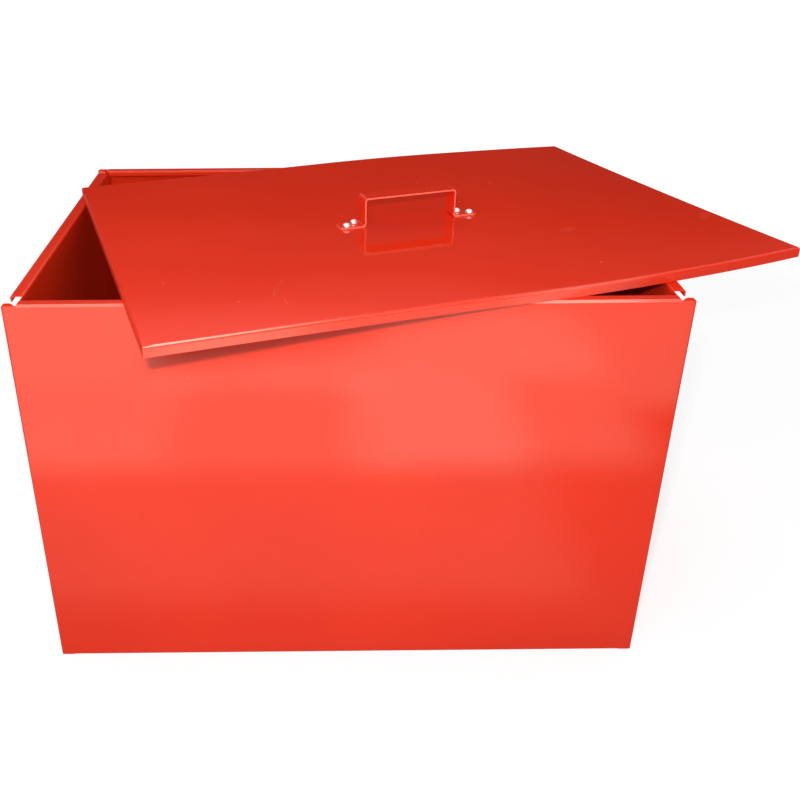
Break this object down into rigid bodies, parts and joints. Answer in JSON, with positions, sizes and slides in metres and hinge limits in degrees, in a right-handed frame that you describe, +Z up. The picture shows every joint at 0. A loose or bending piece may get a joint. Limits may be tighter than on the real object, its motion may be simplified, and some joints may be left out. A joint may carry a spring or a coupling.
{
  "type": "grit salt bin",
  "caption": "Rectangular folded sheet-steel grit salt bin with lipped rims, channelled corners and a loose flat lid with a strap handle, lying askew on the rim.",
  "frame": {"origin": "centre of the bin's underside, on the plane of the four bottom flanges that it stands on", "axes": "+X across the front from left to right seen from the front, +Y from the front face to the back, +Z up; the front face looks towards -Y"},
  "size_m": [0.9031, 0.7598, 0.549],
  "materials": {
    "red_coat": "glossy red powder coat with fine orange peel",
    "rivet_metal": "bare dull aluminium",
    "pin_steel": "dull broken steel mandrel"
  },
  "bodies": {
    "bin": {"front_panel": "red_coat", "back_panel": "red_coat", "left_side_panel": "red_coat", "right_side_panel": "red_coat", "base_panel": "red_coat"},
    "lid": {"lid": "red_coat", "lid_handle": "red_coat", "rivet_left_inner": "rivet_metal", "rivet_left_outer": "rivet_metal", "rivet_right_inner": "rivet_metal", "rivet_right_outer": "rivet_metal", "rivet_pin_left_inner": "pin_steel", "rivet_pin_left_outer": "pin_steel", "rivet_pin_right_inner": "pin_steel", "rivet_pin_right_outer": "pin_steel"}
  },
  "joints": [
    {"name": "lid_lift", "type": "slide", "parent": "bin", "child": "lid", "axis": [0, 0, 1], "range_m": [0, 0.4]}
  ]
}
